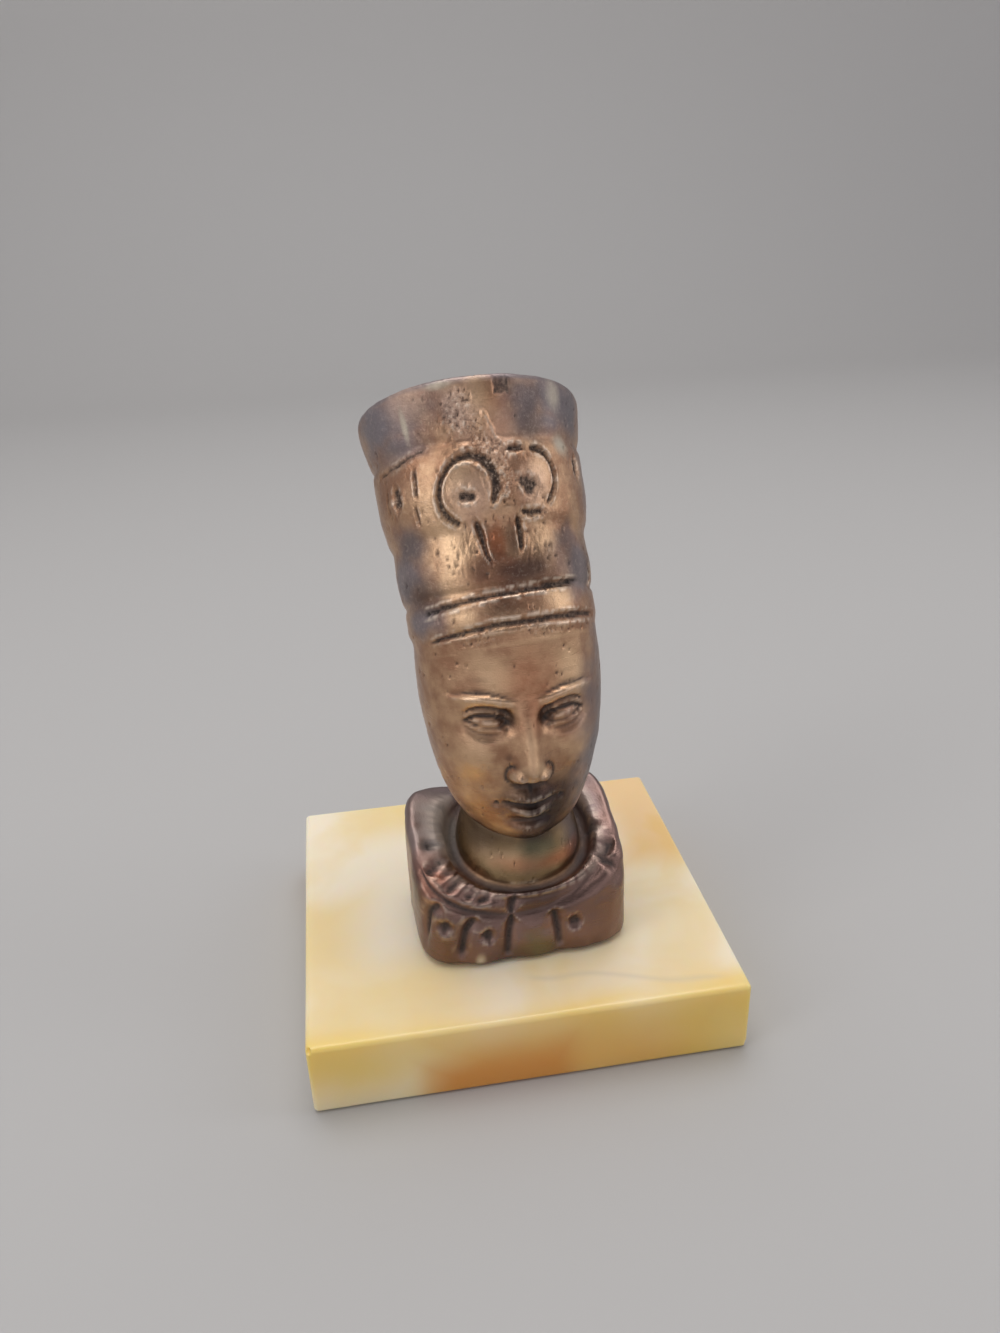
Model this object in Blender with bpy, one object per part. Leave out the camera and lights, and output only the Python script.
# A small cast bronze bust with a tall banded crown, standing on an onyx slab.
# Metres, +Z up. The origin is the centre of the slab's underside, and the bust faces -Y.

import math

import bmesh
import bpy
import numpy as np

MM = 0.001

# The slab
PLINTH_WIDTH = 70.0 * MM
PLINTH_DEPTH = 63.5 * MM
PLINTH_THICKNESS = 13.2 * MM
PLINTH_ROUNDING = 1.3 * MM
PLINTH_ROUNDING_STEPS = 3

# The bust: its height, and where its foot stands on the slab
BUST_HEIGHT = 90.5 * MM
BUST_RIGHT_OF_CENTRE = 1.9 * MM
BUST_AHEAD_OF_CENTRE = 13.0 * MM
BUST_TURN = math.radians(2.0)
SEAT_GAP = 0.3 * MM

# The bust is a free form. Its numbers below are millimetres as drawn, and the drawing is
# scaled so that its highest point comes to BUST_HEIGHT. x is to the right, y is to the back.
SEGMENTS = 54
FRONT_CROWDING = 0.42

CROWN_FOOT = np.array([0.2, 11.0, 50.7])
CROWN_LEAN = np.array([-1.7, 16.0, 30.8])
CROWN_LENGTH = float(np.linalg.norm(CROWN_LEAN))
CROWN_TILT = 30.0
CROWN_FRONT_SHARE = 0.97
CROWN_BACK_SHARE = 1.03
CROWN_SQUARE = 2.05
# Each groove round the front of the crown: its run along the axis, half its width, its depth
CROWN_GROOVES = [(0.5, 1.0, 0.8), (5.4, 0.9, 0.7)]
GROOVES_END = math.radians(82)
GROOVES_FADE = math.radians(22)

CHIN = 20.2
FACE_THIRD = 12.8
NOSE_BASE = CHIN + FACE_THIRD
BROW_LINE = NOSE_BASE + FACE_THIRD
EYE_LINE = BROW_LINE - 3.3
MOUTH_LINE = NOSE_BASE - FACE_THIRD / 3
EYE_WIDTH = 5.8
MEDIAN = 0.6
# Up the nose: the height on the face, how far the nose stands out there, and its half width
NOSE = [
    (NOSE_BASE - 0.7, 0.0, 2.4),
    (NOSE_BASE + 0.3, 1.3, 2.5),
    (NOSE_BASE + 1.3, 3.1, 2.5),
    (NOSE_BASE + 2.7, 3.5, 2.2),
    (EYE_LINE - 2.5, 2.1, 1.9),
    (EYE_LINE + 1.2, 0.9, 1.8),
    (BROW_LINE + 0.6, 0.0, 2.2),
]


def section(name, rings, centre, tilt, half_width, front, back, square=2.0, lift=0.0, run=-9.0):
    return dict(
        name=name, rings=rings, x=centre[0], y=centre[1], z=centre[2], tilt=tilt,
        half_width=half_width, front=front, back=back, square=square, lift=lift, run=run,
    )


def crown_section(name, rings, run, half_width, tilt=CROWN_TILT):
    centre = CROWN_FOOT + CROWN_LEAN * (run / CROWN_LENGTH)
    front = half_width * CROWN_FRONT_SHARE
    back = half_width * CROWN_BACK_SHARE
    return section(name, rings, centre, tilt, half_width, front, back, CROWN_SQUARE, run=run)


# Each section is a level or tilted closed curve round the bust, from the foot to the crown's top.
# Its rings are the edge loops between it and the next section.
SECTIONS = [
    section("foot", 1, (-0.1, 7.4, 0.0), 0.0, 17.0, 12.8, 13.0, 4.4),
    section("foot edge", 3, (-0.1, 7.4, 0.7), 0.0, 17.5, 13.3, 13.4, 4.4),
    section("wall", 3, (-0.15, 7.4, 8.8), -15.0, 17.6, 13.2, 13.3, 4.4, 3.4),
    section("under the lip", 1, (-0.2, 7.4, 12.0), -19.0, 17.4, 13.2, 13.1, 4.2, 4.2),
    section("lip", 1, (-0.2, 7.4, 13.3), -19.0, 16.8, 12.8, 12.6, 4.0, 4.3),
    section("lip inside", 3, (0.0, 7.3, 14.2), -18.0, 15.6, 12.1, 11.9, 3.4, 3.2),
    section("neck ring", 1, (0.5, 7.2, 14.9), -16.0, 11.4, 11.1, 10.8, 2.2, 0.4),
    section("neck groove", 1, (0.5, 7.1, 15.3), -16.0, 10.3, 10.2, 10.2, 2.1),
    section("neck foot", 3, (0.6, 7.1, 16.3), -15.0, 10.2, 10.0, 10.2, 2.1),
    section("neck", 3, (0.6, 7.6, 22.0), -16.0, 8.9, 8.6, 9.0),
    section("under the jaw", 2, (0.6, 8.7, 26.4), -27.0, 9.0, 8.3, 9.6),
    section("jaw underside", 1, (0.6, 8.2, 27.6), -34.0, 10.4, 11.2, 10.8),
    section("jaw", 2, (0.6, 8.1, 29.0), -34.0, 11.5, 13.0, 11.8),
    section("lips", 5, (0.6, 8.4, 32.4), -25.0, 12.9, 13.4, 12.8, 2.05),
    section("cheeks", 7, (0.6, 8.6, 37.4), -12.0, 14.0, 13.1, 13.6, 2.1),
    section("eyes", 4, (0.5, 9.4, 43.2), 4.0, 14.5, 12.8, 14.2, 2.15),
    section("forehead", 4, (0.4, 10.2, 47.0), 16.0, 14.5, 13.0, 14.6, 2.1),
    crown_section("crown foot", 1, 0.0, 14.3, 28.0),
    crown_section("brow band low", 2, 1.7, 14.7),
    crown_section("brow band high", 1, 4.4, 14.7),
    crown_section("upper groove", 1, 5.4, 14.4),
    crown_section("bulge foot", 2, 6.4, 14.8),
    crown_section("bulge", 2, 9.6, 15.1),
    crown_section("waist", 1, 13.6, 14.9),
    crown_section("ring band foot", 2, 16.0, 15.6),
    crown_section("ring band", 2, 20.4, 16.2),
    crown_section("ring band head", 1, 25.4, 16.2),
    crown_section("rim step", 1, 26.8, 15.9),
    crown_section("rim foot", 2, 28.0, 16.3, 31.0),
    crown_section("rim", 1, 33.6, 17.2, 33.0),
    crown_section("rim edge", 1, 34.5, 17.0, 33.0),
    crown_section("top", 0, 34.9, 16.3, 33.0),
]
COLUMNS = ("x", "y", "z", "tilt", "half_width", "front", "back", "square", "lift", "run")
KNOTS = np.cumsum([0] + [row["rings"] for row in SECTIONS[:-1]]).astype(float)
PLACES = {row["name"]: knot for row, knot in zip(SECTIONS, KNOTS)}


# A curve through the values that turns only where they turn
def eased(values, places):
    gaps = np.diff(KNOTS)
    slopes = np.diff(values) / gaps
    tangents = np.zeros(len(values))
    both = slopes[:-1] * slopes[1:]
    inner = np.where(both > 0, 2 * both / np.where(both > 0, slopes[:-1] + slopes[1:], 1), 0)
    tangents[1:-1] = inner
    tangents[0] = slopes[0]
    tangents[-1] = slopes[-1]
    span = np.clip(np.searchsorted(KNOTS, places, side="right") - 1, 0, len(gaps) - 1)
    share = (places - KNOTS[span]) / gaps[span]
    rise = share * share * (3 - 2 * share)
    leave = share * (1 - share) ** 2 * gaps[span] * tangents[span]
    arrive = share * share * (1 - share) * gaps[span] * tangents[span + 1]
    return values[span] * (1 - rise) + values[span + 1] * rise + leave - arrive


# The bare form, at places along it and at angles round it from the front
def bare_form(places, angles):
    at = {name: eased(np.array([row[name] for row in SECTIONS]), places) for name in COLUMNS}
    depth = np.where(np.cos(angles) > 0, at["front"], at["back"])
    power = at["square"]
    shares = np.abs(np.sin(angles) / at["half_width"]) ** power + np.abs(np.cos(angles) / depth) ** power
    radius = shares ** (-1 / power)
    across = radius * np.sin(angles)
    ahead = radius * np.cos(angles)
    tilt = np.radians(at["tilt"])
    x = at["x"] + across
    y = at["y"] - ahead * np.cos(tilt)
    z = at["z"] + ahead * np.sin(tilt) + at["lift"] * (across / at["half_width"]) ** 2
    return np.stack([x, y, z], axis=-1), at["run"]


# 1 in the middle, falling smoothly to 0 at the given distance
def mound(distance, reach):
    return (1 - np.clip(np.abs(distance) / reach, 0, 1) ** 2) ** 2


def oval(across, up, half_width, half_height):
    return mound(np.hypot(across / half_width, up / half_height), 1.0)


# How far the calm, plain face stands ahead of the bare form
def face_relief(points):
    x = points[..., 0] - MEDIAN
    z = points[..., 2]
    side = np.abs(x)
    up_nose, nose_heights, nose_widths = zip(*NOSE)
    nose_height = np.interp(z, up_nose, nose_heights)
    nose_width = np.interp(z, up_nose, nose_widths)
    relief = nose_height * np.exp(-((x / nose_width) ** 2))
    relief += 1.2 * oval(side - 2.3, z - NOSE_BASE - 1.3, 1.6, 1.7)
    relief -= 1.7 * oval(side - EYE_WIDTH, z - EYE_LINE - 0.2, 4.7, 3.3)
    relief -= 0.9 * oval(side - 2.9, z - EYE_LINE - 0.6, 2.0, 2.6)
    relief += 1.5 * oval(side - EYE_WIDTH - 0.1, z - EYE_LINE, 3.5, 2.2)
    brow_arch = BROW_LINE - 0.2 + 0.9 * mound(side - 6.6, 5.0)
    relief += 0.7 * mound(z - brow_arch, 1.6) * mound(side - 6.2, 5.2)
    relief += 0.8 * oval(side - 8.8, z - NOSE_BASE - 4.0, 5.0, 5.0)
    mouth = MOUTH_LINE + 0.25 * mound(side - 4.2, 2.5)
    relief += 1.5 * oval(x, z - MOUTH_LINE - 1.3, 4.9, 2.1)
    relief += 1.6 * oval(x, z - MOUTH_LINE + 1.5, 4.1, 2.2)
    relief -= 1.0 * mound(z - mouth, 0.9) * mound(x, 5.4)
    relief -= 0.7 * oval(x, z - CHIN - 5.4, 4.6, 1.5)
    relief += 0.9 * oval(x, z - CHIN - 2.9, 4.6, 3.2)
    return relief


# The shallow grooves that run round the front of the crown
def band_grooves(run, angles):
    front_only = np.clip((GROOVES_END - np.abs(angles)) / GROOVES_FADE, 0, 1)
    return front_only * sum(depth * mound(run - at, reach) for at, reach, depth in CROWN_GROOVES)


# Outward directions of the form at each point
def outward(points):
    along = np.gradient(points, axis=0)
    around = np.roll(points, -1, axis=1) - np.roll(points, 1, axis=1)
    normals = np.cross(around, along)
    return normals / np.maximum(np.linalg.norm(normals, axis=-1, keepdims=True), 1e-9)


def ring_angles(segments):
    turns = np.arange(segments) / segments * 2 * math.pi
    angles = turns - FRONT_CROWDING * np.sin(turns)
    return np.where(angles > math.pi, angles - 2 * math.pi, angles)


def carved_form():
    places = np.arange(KNOTS[-1] + 1)
    rows, columns = np.meshgrid(places, ring_angles(SEGMENTS), indexing="ij")
    points, run = bare_form(rows, columns)
    facing = np.clip(np.cos(columns) / 0.35, 0, 1)
    on_head = (rows > PLACES["under the jaw"]) & (rows < PLACES["crown foot"])
    points[..., 1] -= face_relief(points) * facing * on_head
    points -= outward(points) * band_grooves(run, columns)[..., None]
    return points


# The carved lines. On the crown a point is its run along the axis and its angle round from the
# front; on the collar it is its share of the way up from the foot to the neck ring, and its angle.
LINE_WIDTH = 1.3
LINE_DEPTH = 0.8
LINE_SIDES = 6
LINE_STEP = 1.5
LINE_END_SHARE = 0.55
DOT_RADIUS = 1.05
DOT_SINK = 0.85
DOT_SEGMENTS = 8
DOT_RINGS = 5

LEFT_RING = dict(run=19.5, angle=-16.5, half_height=4.7, half_width=16.0, starts=-25, ends=262)
RIGHT_RING = dict(run=19.9, angle=20.5, half_height=4.3, half_width=14.5, starts=-58, ends=112)
RING_POINTS = 18
RING_LEAN = 0.6

CROWN_LINES = [
    [(15.3, 10.5), (15.2, 25.0)],
    [(15.3, -13.0), (12.0, -12.3), (8.6, -8.2)],
    [(14.0, 8.2), (12.5, 8.6), (9.4, 9.9)],
    [(23.6, -44.0), (20.0, -46.5)],
    [(18.9, -46.6), (16.4, -49.5)],
]
CROWN_DOTS = [(18.9, -16.5), (19.8, 17.0), (20.5, -60.0), (22.4, 64.0)]

COLLAR_ARC = [
    (0.67, -70.0), (0.66, -51.0), (0.64, -42.0), (0.63, -29.0), (0.615, -12.5),
    (0.63, 3.0), (0.65, 16.0), (0.70, 32.0), (0.78, 45.0), (0.83, 56.0),
]
COLLAR_LINES = [
    [(0.70, -68.0), (0.75, -65.0), (0.88, -72.0)],
    [(0.80, -59.0), (0.91, -63.0)],
    [(0.71, -51.0), (0.93, -54.0)],
    [(0.73, -42.0), (0.85, -41.0)],
    [(0.69, -34.5), (0.89, -30.5)],
    [(0.94, -12.0), (0.50, -12.4), (0.12, -16.5)],
    [(0.26, -60.0), (0.61, -51.5)],
    [(0.24, -40.0), (0.56, -35.0)],
    [(0.58, 17.4), (0.18, 19.7)],
    [(0.74, 70.0), (0.83, 56.0), (0.60, 55.7)],
    [(0.95, 58.0), (0.90, 64.0)],
]
COLLAR_DOTS = [(0.80, -83.0), (0.90, 80.0), (0.31, -49.0), (0.29, -28.0), (0.30, 29.7)]
# The ears are only outlined, in sunk lines. A point is its share of the way up from the lips to
# the crown's foot, and its angle on the right side.
EAR_LINE = [
    (0.30, 107.0), (0.22, 112.0), (0.34, 122.0), (0.58, 126.0), (0.72, 118.0), (0.68, 108.0), (0.52, 110.0),
]

CROWN_RUNS = [row["run"] for row in SECTIONS if row["run"] >= 0]
CROWN_PLACES = [PLACES[row["name"]] for row in SECTIONS if row["run"] >= 0]


def on_crown(points):
    return [(np.interp(run, CROWN_RUNS, CROWN_PLACES), angle) for run, angle in points]


def on_collar(points):
    return [(share * PLACES["neck ring"], angle) for share, angle in points]


def on_ear(side):
    low = PLACES["lips"]
    high = PLACES["crown foot"]
    return [(low + share * (high - low), side * angle) for share, angle in EAR_LINE]


def ring_line(ring):
    points = []
    for turn in np.radians(np.linspace(ring["starts"], ring["ends"], RING_POINTS)):
        rise = ring["half_height"] * math.sin(turn)
        swing = ring["half_width"] * math.cos(turn) + RING_LEAN * rise
        points.append((ring["run"] + rise, ring["angle"] + swing))
    return points


def spot(place, angle):
    return bare_form(np.array([place]), np.radians([angle]))[0][0]


def normal_at(place, angle):
    nudge = 0.05
    along = spot(place + nudge, angle) - spot(place - nudge, angle)
    around = spot(place, angle + 1) - spot(place, angle - 1)
    normal = np.cross(around, along)
    return normal / np.linalg.norm(normal)


# The path's points, spaced evenly along the bust's surface
def spread(path):
    corners = np.array([spot(*point) for point in path])
    lengths = np.concatenate([[0], np.cumsum(np.linalg.norm(np.diff(corners, axis=0), axis=1))])
    count = max(3, int(round(lengths[-1] / LINE_STEP)) + 1)
    at = np.linspace(0, lengths[-1], count)
    places = np.interp(at, lengths, [point[0] for point in path])
    angles = np.interp(at, lengths, [point[1] for point in path])
    return list(zip(places, angles))


# A tapering tube along a path on the surface, which cuts one carved line
def add_line(shape, path, scale):
    path = spread(path)
    centres = np.array([spot(*point) for point in path])
    tangents = np.gradient(centres, axis=0)
    loops = []
    for number, (point, centre, tangent) in enumerate(zip(path, centres, tangents)):
        at_end = number in (0, len(path) - 1)
        narrowing = LINE_END_SHARE if at_end else 1.0
        normal = normal_at(*point)
        sideways = np.cross(tangent, normal)
        sideways *= narrowing * LINE_WIDTH / 2 / np.linalg.norm(sideways)
        loop = []
        for side in range(LINE_SIDES):
            turn = 2 * math.pi * (side + 0.5) / LINE_SIDES
            away = normal * narrowing * LINE_DEPTH * math.cos(turn) + sideways * math.sin(turn)
            loop.append(shape.verts.new((centre + away) * scale))
        loops.append(loop)
    for first, second in zip(loops, loops[1:]):
        for side in range(LINE_SIDES):
            following = (side + 1) % LINE_SIDES
            shape.faces.new((first[side], first[following], second[following], second[side]))
    shape.faces.new(loops[0])
    shape.faces.new(loops[-1])


def add_dot(shape, point, scale):
    centre = spot(*point) + normal_at(*point) * (DOT_RADIUS - DOT_SINK)
    radius = DOT_RADIUS * scale
    made = bmesh.ops.create_uvsphere(shape, u_segments=DOT_SEGMENTS, v_segments=DOT_RINGS, radius=radius)
    bmesh.ops.translate(shape, vec=centre * scale, verts=made["verts"])


# A hidden cutter that carves the bust where its tubes and balls meet the surface
def carve(bust, name, lines, dots, scale):
    shape = bmesh.new()
    for line in lines:
        add_line(shape, line, scale)
    for dot in dots:
        add_dot(shape, dot, scale)
    cutter = make_object(name, shape, bust.data.materials[0])
    cutter.parent = bust
    cutter.hide_render = True
    cutter.display_type = "WIRE"
    boolean = bust.modifiers.new(name, "BOOLEAN")
    boolean.operation = "DIFFERENCE"
    boolean.object = cutter


def make_material(name, colour, metallic, roughness):
    material = bpy.data.materials.new(name)
    material.use_nodes = True
    shader = material.node_tree.nodes["Principled BSDF"]
    shader.inputs["Base Color"].default_value = (*colour, 1.0)
    shader.inputs["Metallic"].default_value = metallic
    shader.inputs["Roughness"].default_value = roughness
    return material


def make_object(name, shape, material):
    mesh = bpy.data.meshes.new(name)
    bmesh.ops.recalc_face_normals(shape, faces=shape.faces)
    shape.to_mesh(mesh)
    shape.free()
    mesh.materials.append(material)
    made = bpy.data.objects.new(name, mesh)
    bpy.context.scene.collection.objects.link(made)
    return made


def make_plinth():
    shape = bmesh.new()
    bmesh.ops.create_cube(shape, size=1.0)
    bmesh.ops.scale(shape, vec=(PLINTH_WIDTH, PLINTH_DEPTH, PLINTH_THICKNESS), verts=shape.verts)
    bmesh.ops.bevel(
        shape, geom=shape.edges[:], offset=PLINTH_ROUNDING, segments=PLINTH_ROUNDING_STEPS,
        profile=0.5, affect="EDGES", clamp_overlap=True,
    )
    plinth = make_object("plinth", shape, make_material("cream onyx", (0.83, 0.69, 0.44), 0.0, 0.25))
    plinth.location = (0, 0, PLINTH_THICKNESS / 2)


def make_bust():
    points = carved_form()
    scale = BUST_HEIGHT / points[..., 2].max()
    shape = bmesh.new()
    loops = [[shape.verts.new(point * scale) for point in ring] for ring in points]
    for lower, upper in zip(loops, loops[1:]):
        for this in range(SEGMENTS):
            following = (this + 1) % SEGMENTS
            shape.faces.new((lower[this], lower[following], upper[following], upper[this]))
    shape.faces.new(loops[0])
    shape.faces.new(loops[-1])
    bmesh.ops.triangulate(shape, faces=shape.faces[:])
    bust = make_object("bust", shape, make_material("worn bronze", (0.35, 0.19, 0.10), 1.0, 0.35))
    bust.rotation_euler = (0, 0, BUST_TURN)
    bust.location = (BUST_RIGHT_OF_CENTRE, -BUST_AHEAD_OF_CENTRE, PLINTH_THICKNESS + SEAT_GAP)
    crown_lines = [on_crown(line) for line in CROWN_LINES]
    crown_lines += [on_crown(ring_line(ring)) for ring in (LEFT_RING, RIGHT_RING)]
    collar_lines = [on_collar(line) for line in COLLAR_LINES]
    carve(bust, "crown lines", crown_lines, on_crown(CROWN_DOTS), scale)
    carve(bust, "ears", [on_ear(-1), on_ear(1)], [], scale)
    carve(bust, "collar arc", [on_collar(COLLAR_ARC)], [], scale)
    carve(bust, "collar lines", collar_lines, on_collar(COLLAR_DOTS), scale)


for leftover in list(bpy.data.objects):
    bpy.data.objects.remove(leftover, do_unlink=True)
make_plinth()
make_bust()
